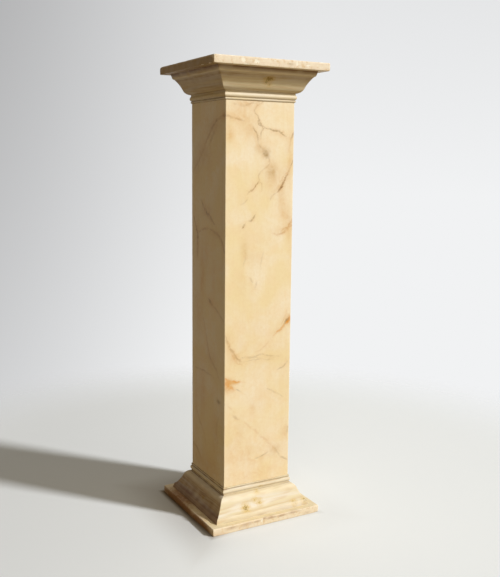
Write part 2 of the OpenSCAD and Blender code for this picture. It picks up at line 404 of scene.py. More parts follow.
def hand_over(bm, name, side, material, notes):
    """Turns the piece back to its own side and makes it stand for the CAD node of its name."""
    sharp_lines(bm)
    spun = Matrix.Rotation(side * math.pi / 2, 3, "Z")
    bmesh.ops.rotate(bm, verts=bm.verts, cent=(0, 0, 0), matrix=spun)
    bmesh.ops.recalc_face_normals(bm, faces=bm.faces)
    mesh = bpy.data.meshes.new(f"painted_{name}")
    bm.to_mesh(mesh)
    bm.free()
    for label, values in notes.items():
        flat = np.asarray(values, dtype=np.float32)
        kind, field = ("FLOAT_VECTOR", "vector") if flat.ndim == 2 else ("FLOAT", "value")
        mesh.attributes.new(label, kind, "POINT").data.foreach_set(field, flat.ravel())
    mesh.materials.append(material)
    piece = bpy.data.objects.new(f"painted_{name}", mesh)
    bpy.context.scene.collection.objects.link(piece)
    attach(piece, "root")
    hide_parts(name)
    return piece


# ---------------------------------------------------------------- the marbling

# Each vein: its tone, then its places: across from the middle and up from the floor in millimetres,
# width in millimetres, and strength. The tones are how grey and how orange a vein is.
TONES = {
    "brown": (0.15, 0.0),
    "umber": (0.55, 0.0),
    "grey": (1.0, 0.0),
    "orange": (0.0, 1.0),
    "rust": (0.0, 0.45),
}
FRONT_VEINS = [
    ("umber", (8, 1011, 1.2, 0.3), (-10, 1000, 1.4, 0.35), (-17, 990, 1.4, 0.4), (-8, 978, 1.4, 0.4),
     (-3, 965, 1.8, 0.5), (5, 950, 1.4, 0.5), (0, 937, 1.4, 0.35), (1, 926, 1.2, 0.2)),
    ("umber", (-8, 966, 1.4, 0.4), (-1, 955, 1.6, 0.5), (9, 952, 1.6, 0.5), (28, 947, 1.8, 0.6),
     (46, 945, 2.2, 0.7), (56, 941, 2.4, 0.7), (68, 933, 1.6, 0.4)),
    ("grey", (49, 944, 3.0, 0.8), (58, 940, 3.0, 0.9)),
    ("umber", (-20, 951, 2.0, 0.2), (-12, 941, 2.4, 0.6), (-7, 928, 1.8, 0.45), (-5, 914, 1.4, 0.3),
     (2, 905, 2.4, 0.5), (9, 898, 4.0, 0.6)),
    ("grey", (8, 900, 5.0, 0.5), (16, 892, 9.0, 0.75), (21, 884, 5.0, 0.3)),
    ("brown", (22, 884, 2.0, 0.25), (24, 868, 1.8, 0.2), (8, 855, 1.4, 0.22), (-4, 842, 1.4, 0.25),
     (-2, 829, 1.4, 0.3), (-12, 818, 2.4, 0.7), (-22, 808, 2.2, 0.5), (-31, 800, 1.6, 0.3)),
    ("brown", (-2, 829, 1.4, 0.3), (6, 818, 1.4, 0.2), (4, 806, 1.2, 0.1)),
    ("grey", (-34, 785, 2.0, 0.35), (-48, 776, 1.6, 0.2)),
    ("umber", (-12, 748, 2.0, 0.4), (-19, 739, 3.4, 0.6), (-29, 736, 1.6, 0.2)),
    ("umber", (-41, 728, 2.0, 0.5), (-45, 723, 3.0, 0.6)),
    ("brown", (91, 942, 3.0, 0.6), (85, 930, 2.0, 0.45), (80, 918, 1.6, 0.3), (76, 900, 1.4, 0.15)),
    ("brown", (91, 877, 2.8, 0.8), (82, 860, 2.0, 0.55), (71, 838, 2.6, 0.7), (62, 822, 3.4, 0.95),
     (54, 809, 3.0, 0.9), (50, 803, 2.0, 0.4)),
    ("rust", (78, 852, 2.0, 0.4), (66, 842, 1.6, 0.3), (56, 828, 1.6, 0.2)),
    ("umber", (40, 798, 1.6, 0.25), (33, 792, 2.2, 0.4), (28, 786, 1.4, 0.2)),
    ("brown", (-91, 978, 4.0, 0.6), (-78, 973, 3.0, 0.45), (-60, 969, 2.6, 0.4), (-46, 966, 2.4, 0.15)),
    ("brown", (-70, 1003, 3.0, 0.2), (-50, 1000, 4.0, 0.35), (-28, 1004, 3.0, 0.3), (0, 1011, 2.0, 0.2)),
    ("rust", (91, 738, 4.0, 0.4), (82, 722, 3.4, 0.45), (68, 707, 3.0, 0.4), (51, 701, 2.6, 0.4),
     (35, 706, 2.0, 0.2)),
    ("rust", (91, 722, 3.0, 0.4), (74, 717, 2.4, 0.35), (60, 710, 2.0, 0.15)),
    ("orange", (91, 499, 4.0, 0.9), (82, 489, 8.0, 1.0), (72, 478, 5.0, 0.8), (62, 470, 3.0, 0.6),
     (50, 461, 2.0, 0.5), (40, 453, 1.4, 0.2)),
    ("umber", (87, 496, 4.0, 0.75), (80, 488, 3.4, 0.7), (73, 480, 1.8, 0.35)),
    ("rust", (80, 516, 1.6, 0.15), (72, 495, 1.6, 0.25), (64, 476, 1.4, 0.2)),
    ("brown", (-91, 470, 3.0, 0.45), (-83, 450, 3.0, 0.4), (-74, 432, 2.6, 0.4), (-64, 419, 2.4, 0.4),
     (-55, 407, 3.0, 0.45), (-42, 398, 2.0, 0.25)),
    ("rust", (-75, 425, 1.6, 0.25), (-60, 400, 1.6, 0.3), (-45, 392, 1.4, 0.2)),
    ("umber", (-43, 409, 1.8, 0.2), (-19, 407, 1.8, 0.26), (6, 411, 1.8, 0.26), (25, 407, 1.8, 0.26),
     (60, 402, 1.6, 0.12)),
    ("umber", (-42, 398, 1.6, 0.2), (-10, 401, 1.6, 0.24), (20, 398, 1.6, 0.22), (45, 396, 1.4, 0.08)),
    ("grey", (86, 386, 2.0, 0.3), (69, 373, 1.8, 0.35), (56, 369, 1.4, 0.15)),
    ("orange", (-91, 362, 3.0, 0.9), (-78, 355, 3.4, 0.75), (-62, 351, 2.0, 0.7), (-48, 350, 1.4, 0.35)),
    ("orange", (-91, 352, 7.0, 0.95), (-80, 345, 5.0, 0.7), (-70, 336, 3.0, 0.4), (-62, 330, 2.0, 0.15)),
    ("rust", (-91, 338, 4.0, 0.6), (-82, 330, 3.0, 0.3)),
    ("grey", (-58, 332, 1.8, 0.35), (-46, 325, 1.6, 0.25)),
    ("grey", (28, 323, 1.4, 0.15), (38, 319, 1.8, 0.3), (52, 311, 1.8, 0.25), (72, 298, 1.4, 0.1)),
    ("umber", (-70, 273, 1.8, 0.2), (-60, 262, 3.0, 0.3), (-51, 257, 1.8, 0.15)),
    ("rust", (-33, 243, 3.4, 0.14), (-7, 222, 4.0, 0.2), (12, 204, 4.0, 0.22), (32, 185, 3.4, 0.2),
     (51, 165, 3.0, 0.15)),
    ("umber", (51, 165, 2.4, 0.12), (68, 143, 3.0, 0.3), (88, 131, 2.0, 0.35)),
    ("grey", (-2, 149, 1.6, 0.2), (18, 154, 1.6, 0.3), (31, 160, 1.4, 0.12)),
    ("umber", (87, 217, 2.6, 0.7), (86, 204, 2.6, 0.6)),
    ("grey", (-24, 599, 1.6, 0.25), (-18, 592, 1.6, 0.3)),
    ("grey", (-7, 587, 1.6, 0.25), (-10, 576, 1.6, 0.3)),
    ("grey", (-38, 650, 2.0, 0.3), (-42, 630, 1.6, 0.12)),
    ("grey", (12, 660, 1.6, 0.08), (6, 640, 1.6, 0.15), (2, 618, 1.4, 0.06)),
    ("rust", (30, 440, 1.6, 0.1), (10, 425, 1.6, 0.18), (-8, 420, 1.4, 0.08)),
    ("rust", (-85, 300, 1.6, 0.1), (-72, 285, 1.6, 0.2), (-60, 275, 1.4, 0.08)),
]
# Each stain: its place, half its size across and up in millimetres, and how warm, grey and orange it is.
FRONT_STAINS = [
    (-47, 1003, 24, 10, 0.45, 0, 0.02),
    (-20, 1000, 18, 10, 0.3, 0, 0),
    (-62, 980, 30, 14, 0.42, 0, 0.02),
    (-40, 962, 20, 22, 0.35, 0, 0),
    (-28, 940, 16, 20, 0.4, 0, 0),
    (-86, 950, 10, 22, 0.3, 0, 0.03),
    (-81, 932, 11, 18, 0.42, 0, 0.08),
    (0, 912, 16, 20, 0.4, 0, 0),
    (16, 892, 9, 8, 0.1, 0.7, 0),
    (5, 903, 16, 9, 0.2, 0.15, 0),
    (30, 862, 14, 16, 0.35, 0.05, 0),
    (32, 848, 18, 24, 0.38, 0, 0),
    (34, 848, 13, 12, 0.12, 0.22, 0),
    (48, 830, 24, 24, 0.3, 0, 0),
    (22, 820, 14, 14, 0.25, 0, 0),
    (82, 905, 10, 34, 0.28, 0, 0.03),
    (80, 850, 12, 30, 0.2, 0, 0.06),
    (58, 790, 9, 26, 0.4, 0, 0),
    (64, 762, 9, 26, 0.45, 0, 0.02),
    (76, 735, 10, 28, 0.5, 0, 0.03),
    (84, 700, 7, 30, 0.35, 0, 0.02),
    (88, 640, 5, 60, 0.3, 0, 0),
    (60, 712, 22, 8, 0.25, 0, 0),
    (-40, 672, 10, 17, 0.45, 0.1, 0.05),
    (-14, 650, 22, 18, 0.2, 0, 0),
    (10, 690, 30, 12, 0.12, 0, 0),
    (-50, 590, 24, 30, 0.15, 0, 0),
    (84, 492, 11, 10, 0.35, 0.1, 0.45),
    (-80, 448, 9, 20, 0.35, 0, 0.05),
    (-62, 412, 14, 12, 0.4, 0, 0.03),
    (-84, 350, 9, 9, 0.2, 0, 0.95),
    (-64, 350, 16, 3, 0.15, 0, 0.55),
    (-78, 336, 12, 10, 0.35, 0, 0.35),
    (-14, 275, 8, 18, 0.4, 0, 0),
    (-50, 222, 14, 34, 0.32, 0, 0),
    (-80, 200, 12, 50, 0.2, 0, 0),
    (-30, 160, 40, 20, 0.25, 0, 0),
    (10, 300, 30, 30, 0.15, 0, 0),
    (52, 163, 14, 12, 0.3, 0.12, 0),
    (75, 205, 12, 26, 0.25, 0, 0),
    (75, 330, 14, 60, 0.12, 0, 0),
    (-20, 108, 70, 14, 0.28, 0, 0),
    (0, 140, 100, 90, 0.2, 0, 0.03),
    (0, 430, 100, 90, 0.14, 0, 0.02),
]
LEFT_VEINS = [
    ("brown", (91, 980, 6.0, 0.6), (70, 973, 4.0, 0.45), (44, 966, 4.0, 0.4), (18, 946, 5.0, 0.35),
     (-17, 912, 5.0, 0.22), (-50, 875, 4.0, 0.15), (-76, 853, 4.0, 0.3)),
    ("brown", (91, 979, 6.0, 0.9), (84, 976, 5.0, 0.6)),
    ("umber", (32, 938, 5.0, 0.25), (18, 925, 5.0, 0.25), (4, 910, 4.0, 0.12)),
    ("umber", (-38, 780, 3.0, 0.2), (-12, 755, 5.0, 0.5), (15, 739, 6.0, 0.6), (36, 726, 4.0, 0.25)),
    ("umber", (-80, 735, 3.0, 0.3), (-68, 714, 4.0, 0.5), (-58, 695, 4.0, 0.6), (-57, 675, 3.0, 0.45),
     (-60, 640, 3.0, 0.2)),
    ("brown", (-62, 700, 3.0, 0.3), (-16, 712, 3.0, 0.35), (19, 712, 3.0, 0.35), (59, 700, 5.0, 0.4),
     (82, 678, 5.0, 0.45), (91, 655, 4.0, 0.6)),
    ("umber", (4, 541, 3.0, 0.6), (14, 536, 5.0, 0.8), (28, 530, 3.0, 0.5)),
    ("umber", (28, 530, 2.0, 0.25), (48, 522, 3.0, 0.25), (86, 500, 3.0, 0.2)),
    ("brown", (-25, 490, 3.0, 0.12), (-5, 440, 4.0, 0.22), (10, 402, 5.0, 0.28), (29, 385, 5.0, 0.25),
     (49, 373, 4.0, 0.22), (64, 352, 3.0, 0.1)),
    ("umber", (-70, 354, 2.4, 0.2), (-20, 356, 2.4, 0.3), (34, 351, 2.0, 0.15)),
    ("brown", (-70, 250, 3.0, 0.1), (-50, 225, 4.0, 0.2), (-20, 190, 4.0, 0.15), (-10, 160, 3.0, 0.08)),
    ("brown", (60, 260, 3.0, 0.1), (50, 230, 4.0, 0.18), (56, 190, 3.0, 0.1)),
    ("umber", (-85, 150, 4.0, 0.3), (-60, 140, 4.0, 0.25), (-40, 120, 3.0, 0.1)),
]
LEFT_STAINS = [
    (84, 975, 14, 10, 0.3, 0, 0.2),
    (30, 955, 34, 16, 0.4, 0.12, 0),
    (-30, 895, 26, 28, 0.4, 0.15, 0),
    (-60, 862, 16, 26, 0.35, 0.12, 0),
    (10, 880, 12, 40, 0.25, 0, 0.02),
    (-10, 755, 26, 16, 0.4, 0.08, 0),
    (-58, 680, 9, 34, 0.4, 0.15, 0),
    (40, 704, 34, 10, 0.35, 0.04, 0),
    (-31, 600, 12, 60, 0.5, 0, 0.05),
    (-10, 655, 14, 40, 0.3, 0, 0),
    (-50, 500, 20, 46, 0.3, 0, 0.03),
    (16, 533, 16, 8, 0.35, 0, 0),
    (30, 590, 10, 50, 0.25, 0, 0),
    (20, 395, 22, 20, 0.35, 0.05, 0),
    (-30, 300, 16, 70, 0.4, 0, 0.05),
    (-64, 270, 10, 60, 0.3, 0, 0),
    (40, 200, 14, 50, 0.3, 0, 0),
    (60, 297, 8, 5, 0.3, 0.8, 0),
    (-10, 120, 60, 26, 0.3, 0, 0.05),
]
# in millimetres: where veins may start, and over what height they come round again on another face
VEIN_FOOT, VEIN_SPAN = 95, 900
# also in millimetres: how far a line wanders, how close its points are, how far a vein's smear reaches,
# and the distance that stands for no vein near
HAND_SHAKE = 2.2
LINE_STEP = 3
VEIN_REACH = 26
FAR_OFF = 60.0


def moved_on(work, lift, mirror, faint):
    """The same hand's work on another face: lifted and round again from the foot, and fainter."""
    veins, stains = work
    flip = -1 if mirror else 1

    def lifted(first):
        return (first - VEIN_FOOT + lift) % VEIN_SPAN + VEIN_FOOT - first

    new_veins = []
    for tone, *places in veins:
        up = lifted(places[0][1])
        new_veins.append((tone, *((flip * u, z + up, wide, faint * strong) for u, z, wide, strong in places)))
    new_stains = [(flip * u, z + lifted(z), *rest) for u, z, *rest in stains]
    return new_veins, new_stains


FACES = {
    "front": (FRONT_VEINS, FRONT_STAINS),
    "left": (LEFT_VEINS, LEFT_STAINS),
    "right": moved_on((FRONT_VEINS, FRONT_STAINS), 330, True, 0.75),
    "back": moved_on((LEFT_VEINS + FRONT_VEINS[::2], LEFT_STAINS + FRONT_STAINS[1::2]), 560, False, 0.75),
}


def brushed(places, seed):
    """A vein's few places as a close, slightly shaky line, smooth through each place."""
    ends = [places[0]] + list(places) + [places[-1]]
    line = []
    for a, b, c, d in zip(ends, ends[1:], ends[2:], ends[3:]):
        a, b, c, d = (np.array(p, dtype=float) for p in (a, b, c, d))
        steps = max(2, int(np.linalg.norm(c[:2] - b[:2]) / LINE_STEP))
        for i in range(steps):
            s = i / steps
            bend = (2 * a - 5 * b + 4 * c - d) * s * s + (3 * b - a - 3 * c + d) * s**3
            line.append(0.5 * (2 * b + (c - a) * s + bend))
    line.append(np.array(places[-1], dtype=float))
    for p in line:
        across, up = p[:2]
        p[0] += HAND_SHAKE * ripple((across, up, 0), 11.0, seed)
        p[1] += HAND_SHAKE * ripple((up, across, 5), 11.0, seed + 9)
        p[2] *= 1 + 0.5 * ripple((across, up, 8), 9.0, seed)
    return np.array(line)


def marble(face, across, up):
    """What the marbler's brush left at each point of a face: vein, vein_look and stain."""
    count = len(across)
    side = np.full(count, FAR_OFF)
    gap = np.full(count, FAR_OFF)
    width = np.full(count, 2.0)
    look = np.zeros((count, 3))
    veins, stains = FACES[face]
    spots = np.stack([across, up], axis=1) / MM
    for number, (tone, *places) in enumerate(veins):
        drawn = brushed(places, number * 1.7)
        line = drawn[:, :2]
        low, high = line.min(0) - VEIN_REACH, line.max(0) + VEIN_REACH
        # only the points within the line's reach
        near = np.where(((spots > low) & (spots < high)).all(1))[0]
        if not len(near):
            continue
        # the nearest place on the line, measured to each of its short runs
        start, run = line[:-1], line[1:] - line[:-1]
        length = np.maximum((run**2).sum(1), 1e-9)
        reach = spots[near][:, None, :] - start[None]
        share = np.clip((reach * run).sum(2) / length, 0, 1)
        rest = reach - share[..., None] * run
        apart = np.sqrt((rest**2).sum(2))
        best = apart.argmin(1)
        pick = np.arange(len(near))
        distance = apart[pick, best]
        # above zero on one side of the line, below it on the other
        turn = run[best, 0] * reach[pick, best, 1] - run[best, 1] * reach[pick, best, 0]
        part = share[pick, best][:, None]
        wide, strong = (drawn[best, 2:4] * (1 - part) + drawn[best + 1, 2:4] * part).T
        closer = distance < gap[near]
        hit = near[closer]
        gap[hit] = distance[closer]
        side[hit] = np.where(turn > 0, distance, -distance)[closer]
        width[hit] = wide[closer]
        look[hit] = np.column_stack([strong[closer], np.tile(TONES[tone], (len(hit), 1))])
    stain = np.zeros((count, 3))
    for u, z, wide, tall, *shades in stains:
        round_it = ((spots[:, 0] - u) / wide) ** 2 + ((spots[:, 1] - z) / tall) ** 2
        fade = np.exp(-0.9 * round_it)
        stain = 1 - (1 - stain) * (1 - fade[:, None] * np.array([shades]))
    return {"vein": np.stack([side, gap, width], 1), "vein_look": look, "stain": stain}


def shaft_board(side, material):
    """One mitred board of the shaft: a fine grid for its painted face, drawn back along the mitres."""
    columns, rows = 76, 425
    bm = bmesh.new()
    bmesh.ops.create_grid(bm, x_segments=columns, y_segments=rows, size=0.5)
    bmesh.ops.rotate(bm, verts=bm.verts, cent=(0, 0, 0), matrix=Matrix.Rotation(math.pi / 2, 3, "X"))
    bmesh.ops.scale(bm, verts=bm.verts, vec=(2 * SHAFT_HALF, 1, SHAFT_HEAD - SHAFT_FOOT))
    bmesh.ops.translate(bm, verts=bm.verts, vec=(0, -SHAFT_HALF, (SHAFT_FOOT + SHAFT_HEAD) / 2))
    # the three outermost columns stand close together to make the rounded arris
    pitch = 2 * SHAFT_HALF / columns
    for v in bm.verts:
        column = (SHAFT_HALF - abs(v.co.x)) / pitch
        if column < 3.5:
            v.co.x = math.copysign(SHAFT_HALF - 0.7 * MM * column, v.co.x)
    rim = [e for e in bm.edges if e.is_boundary]
    drawn = bmesh.ops.extrude_edge_only(bm, edges=rim)["geom"]
    back = [v for v in drawn if isinstance(v, bmesh.types.BMVert)]
    for v in back:
        v.co.y += SHAFT_WALL
        if SHAFT_HALF - abs(v.co.x) < SHAFT_WALL:
            v.co.x = math.copysign(SHAFT_HALF - SHAFT_WALL, v.co.x)
    bmesh.ops.remove_doubles(bm, verts=back, dist=0.01 * MM)
    bmesh.ops.holes_fill(bm, edges=[e for e in bm.edges if e.is_boundary], sides=0)
    bmesh.ops.recalc_face_normals(bm, faces=bm.faces)
    spots = np.array([(v.co.x, v.co.z) for v in bm.verts])
    notes = marble(SIDES[side], spots[:, 0], spots[:, 1])
    to_arris = SHAFT_HALF - np.abs(spots[:, 0])
    handled = np.array([0.6 + 0.6 * ripple((0, 0, z), 0.05, side) for z in spots[:, 1]])
    notes["worn"] = np.clip(np.exp(-((to_arris / (2.2 * MM)) ** 2)) * handled, 0, 1)
    round_corner(bm, SHAFT_ARRIS)
    name = f"shaft_board_{SIDES[side]}"
    return hand_over(bm, name, side, material, notes)


# ---------------------------------------------------------------- mouldings

# how far apart a moulding is cut across
CUT_PITCH = 4 * MM

# Knots: place along the length and up from the floor, half size along and across, all in millimetres,
# and faintness.
KNOTS = {
    "crown_front": [(7, 1059, 7.0, 3.2, -0.2), (1, 1052, 6.0, 3.4, 0.3), (11, 1047, 5.0, 3.2, 0.4)],
    "crown_left": [(-32, 1076, 6.0, 4.0, 0.1)],
    "crown_right": [(-60, 1058, 5.0, 3.0, 0.2)],
    "crown_back": [(44, 1050, 6.0, 3.6, 0.1), (-70, 1066, 3.0, 2.4, 0.4)],
    "base_moulding_front": [
        (-45, 39, 8.0, 7.0, 0.3),
        (-15, 52, 8.0, 5.0, 0.75),
        (-4, 45, 7.0, 7.0, 0.7),
        (-5, 66, 6.0, 4.0, 0.85),
        (89, 27, 7.0, 5.0, 0.2),
        (120, 27, 7.0, 5.0, 0.1),
    ],
    "base_moulding_left": [(24, 44, 5.0, 3.2, 0.6)],
    "base_moulding_right": [(50, 36, 6.5, 4.2, 0.2), (-76, 52, 3.0, 2.6, 0.5)],
    "base_moulding_back": [(-20, 40, 5.5, 3.6, 0.3)],
    "base_strip_front": [(9, 77, 4.0, 2.2, 0.5)],
    "neck_strip_right": [(-30, 1024, 3.2, 2.0, 0.4)],
}


def grain_notes(bm, name, side):
    """Where each point lies in the wood, the grain bent round the knots, and how near it is to a knot."""
    spots = np.array([(v.co.x, -v.co.y, v.co.z) for v in bm.verts])
    lay = spots.copy()
    lay[:, 0] += 1.3 * side + 0.37 * len(name)
    lay[:, 2] += 0.05 * side
    knot = np.full(len(spots), 9.0)
    for u, z, long, wide, faint in KNOTS.get(name, ()):
        du = (spots[:, 0] / MM - u) / long
        dz = (spots[:, 2] / MM - z) / wide
        away = np.sqrt(du**2 + dz**2)
        knot = np.minimum(knot, away + faint)
        bend = np.exp(-((du / 2.6) ** 2) - (dz / 2.6) ** 2)
        lay[:, 2] -= np.sign(dz) * bend * 0.8 * wide * MM
    return {"lay": lay, "knot": knot}


def run_of_moulding(name, side, material, rubbed_and_highlight_at, dirt_and_shade_at, aged_and_shade_at=()):
    """One mitred length: the CAD shape, cut fine, with its arrises eased and its mitres softened.
    A mark is how far out it lies, how high up, how big it is, all in millimetres, and how strong."""
    bm = cad_copy(name, side)
    half = max(abs(v.co.x) for v in bm.verts)
    arrises = []
    for e in bm.edges:
        if len(e.link_faces) != 2 or not e.is_convex or e.calc_face_angle(0) < math.radians(35):
            continue
        a, b = e.verts
        # only the long arrises that stand free: not a mitre, nor an edge against the wall or a board
        lengthwise = abs(a.co.y - b.co.y) < 0.01 * MM and abs(a.co.z - b.co.z) < 0.01 * MM
        seated = any(f.normal.y > 0.2 or abs(f.normal.z) > 0.98 for f in e.link_faces)
        if lengthwise and not seated:
            arrises.append(e)
    if arrises:
        bmesh.ops.bevel(
            bm, geom=arrises, offset=MOULDING_ARRIS, segments=3, profile=0.5, affect="EDGES", material=-1
        )
    count = int(half / CUT_PITCH)
    slice_up(bm, 0, [i * CUT_PITCH for i in range(-count, count + 1)])
    # two more cuts along each mitre leave close points for its worn corner
    for inset in (0.8 * MM, 1.6 * MM):
        for sign in (-1, 1):
            cut(bm, (-sign * inset, 0, 0), Vector((sign, 1, 0)).normalized())
    notes = grain_notes(bm, name, side)
    spots = np.array([v.co[:] for v in bm.verts])
    height = spots[:, 2] / MM
    reach = -spots[:, 1] / MM
    uneven = np.array([0.5 + 0.8 * ripple(v.co, 0.02, 3.0 + side) for v in bm.verts])
    # pale, dark and brown marks: wear, dirt and age, and also painted highlight and painted shade
    shares = []
    for marks in (rubbed_and_highlight_at, dirt_and_shade_at, aged_and_shade_at):
        share = np.zeros(len(spots))
        for out, up, size, amount in marks:
            apart = ((reach - out) / size) ** 2 + ((height - up) / size) ** 2
            share = np.maximum(share, amount * np.exp(-apart))
        shares.append(share)
    rubbed, dirt_and_shade, aged_and_shade = shares
    worn = (rubbed * (0.5 + uneven), dirt_and_shade * (0.5 + uneven), aged_and_shade * (0.6 + 0.6 * uneven))
    notes["wear_and_painted_light"] = np.clip(np.stack(worn, 1), 0, 1)
    round_corner(bm, MITRE_ARRIS)
    return hand_over(bm, name, side, material, notes)


# ---------------------------------------------------------------- boards


# how far apart a board is cut across, and the deepest bite out of an arris
BOARD_PITCH = 5 * MM
DEEPEST_BITE = 2.2 * MM


def patches(spots, marks, found):
    """Adds soft-edged patches to what is found at each point. A mark is a place, half its length and half
    its height, all in millimetres, and how strong it is."""
    for (x, y, z, long, tall), amount in marks:
        along = ((spots[:, 0] - x) / long) ** 2 + ((spots[:, 1] - y) / long) ** 2
        round_it = along + ((spots[:, 2] - z) / tall) ** 2
        found = np.maximum(found, amount * np.exp(-round_it))
    return found


def square_board(name, material, chips, scuffs_and_shade, nick, rub):
    """A square board with rounded arrises, bitten here and there along the edges."""
    bm = cad_copy(name)
    low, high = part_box(name)
    bmesh.ops.bevel(
        bm, geom=bm.edges[:], offset=BOARD_ARRIS, segments=3, profile=0.5, affect="EDGES", material=-1
    )
    count = int(high[0] / BOARD_PITCH)
    for axis in (0, 1):
        slice_up(bm, axis, [i * BOARD_PITCH for i in range(-count, count + 1)])
    slice_up(bm, 2, [low[2] + (high[2] - low[2]) * s for s in (0.25, 0.5, 0.75)])
    half, middle = high[0], (low[2] + high[2]) / 2
    thick = (high[2] - low[2]) / 2
    rubbed, edge_on = [], []
    bm.normal_update()
    for v in bm.verts:
        out = max(abs(v.co.x), abs(v.co.y))
        up = abs(v.co.z - middle)
        to_side, to_flat = half - out, thick - up
        to_corner = half - min(abs(v.co.x), abs(v.co.y))
        # wear reaches 5 mm from an arris, and further at a corner
        arris = max(0.0, 1 - (to_side + to_flat) / (5 * MM))
        corner = max(0.0, 1 - (to_side + to_corner) / (14 * MM))
        bite = ripple(v.co, 0.011, 7.0) + 0.6 * ripple(v.co, 0.028, 2.0) + corner
        depth = max(0.0, bite - 0.35) * nick * arris
        v.co -= v.normal * min(depth, DEEPEST_BITE)
        uneven = 0.55 + 0.75 * ripple(v.co, 0.016, 11.0)
        rubbed.append(min(1.0, max(0.0, rub * (1.25 * arris * uneven + 0.9 * depth / MM))))
        edge_on.append(1.0 if to_side < 2 * MM else 0.0)
    spots = np.array([v.co[:] for v in bm.verts]) / MM
    rubbed = patches(spots, chips, np.array(rubbed))
    scuffed_and_shaded = patches(spots, scuffs_and_shade, np.zeros(len(spots)))
    lay = spots * MM
    lay[:, 0] += 0.61 * len(name)
    notes = {"lay": lay, "wear_and_painted_light": np.stack([rubbed, edge_on, scuffed_and_shaded], 1)}
    return hand_over(bm, name, 0, material, notes)


# ---------------------------------------------------------------- making the column

glaze = marbled_paint()
pine = washed_pine()
top_paint = painted_board(
    "chipped_cream_paint_on_the_top_board", "#ecdfc2", "#e0c88e", "#a08452", flaking=0.6
)
plinth_paint = painted_board(
    "scuffed_cream_paint_on_the_plinth_board", "#efe1bf", "#e8cf8e", "#9a6b3a", flaking=0.5
)

for side in range(4):
    shaft_board(side, glaze)

# places on the mouldings, in millimetres, for the marks of wear, dirt and age, and of painted highlight and
# painted shade
crown_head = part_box("crown_front")[1][2] / MM
crown_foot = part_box("crown_front")[0][2] / MM
base_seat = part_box("base_moulding_front")[0][2] / MM
base_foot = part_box("base_moulding_front")[1][2] / MM
strip_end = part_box("neck_strip_front")[0][2] / MM
base_strip_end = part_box("base_strip_front")[1][2] / MM
moulding_out = -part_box("crown_front")[0][1] / MM
wall = SHAFT_HALF / MM
for side, word in enumerate(SIDES):
    # painted shade: the left side, which the lamp leaves in shade, is painted darker all over and in its
    # quirks, partly with age and dirt and partly as painted shade
    left = word == "left"
    grime_and_side_shade = 1.0 if left else 0.35
    wear_and_painted_light = {
        "crown": {
            "rubbed_and_highlight_at": [
                # the fillet's lower arris rubbed pale, partly wear and partly painted highlight, and a
                # painted highlight as a pale band on the crown's turn
                (moulding_out - 3.5, crown_head - 11, 2.2, 1.0),
                (wall + 20, crown_foot + 18, 6, 0.35),
            ],
            # dirt and painted shade in the crease under the top board and at the crown's foot
            "dirt_and_shade_at": [(moulding_out, crown_head, 3.0, 1.0), (wall + 2.5, crown_foot, 1.6, grime_and_side_shade)],
            # age and painted shade: the fillet under the top board, the top of the hollow and the foot of the
            # ovolo painted browner, and on the left the whole run
            "aged_and_shade_at": [
                (moulding_out, crown_head - 4, 8, 1.0),
                (wall + 30, crown_foot + 32, 8, 0.65),
                (wall + 5, crown_foot + 1, 5, 0.25),
                (wall + 18, crown_foot + 20, 24, 0.5 if left else 0.0),
            ],
        },
        "base_moulding": {
            "rubbed_and_highlight_at": [(moulding_out - 3.5, base_seat + 11, 2.4, 0.7), (wall + 14, base_foot - 6, 9, 0.7)],
            # dirt and painted shade where the moulding meets the plinth and the strip, and on the left a
            # broad painted shade over the hollow
            "dirt_and_shade_at": [
                (moulding_out, base_seat, 1.2, 0.6 * grime_and_side_shade),
                (wall + 2.5, base_foot, 1.6, grime_and_side_shade),
                (moulding_out - 6, base_seat + 13, 10, 0.75 if left else 0.0),
            ],
            # age and painted shade: on the left the moulding is painted browner all over
            "aged_and_shade_at": [
                (moulding_out - 1, base_seat + 4, 16, 1.4 if left else 0.1),
                (wall + 18, base_foot - 20, 24, 0.9 if left else 0.0),
            ],
        },
        "neck_strip": {
            "rubbed_and_highlight_at": [(wall + 4.4, crown_foot - 9.2, 2.2, 1.0)],
            # dirt and painted shade in the groove under the bead and where the strip meets the shaft
            "dirt_and_shade_at": [
                (wall + 1.3, crown_foot - 15.2, 1.0, 1.0 if left else 0.6),
                (wall + 1.3, strip_end, 0.9, grime_and_side_shade),
            ],
        },
        "base_strip": {
            "rubbed_and_highlight_at": [(wall + 4.4, base_foot + 9.2, 2.2, 1.0)],
            # dirt and painted shade in the groove and where the strip meets the shaft and the moulding
            "dirt_and_shade_at": [
                (wall + 1.3, base_foot + 15.2, 1.4, 1.0 if left else 0.55),
                (wall + 2, base_foot + 3, 1.4, grime_and_side_shade),
                (wall + 1.3, base_strip_end, 0.9, grime_and_side_shade),
            ],
        },
    }
    for kind, marks in wear_and_painted_light.items():
        run_of_moulding(f"{kind}_{word}", side, pine, **marks)

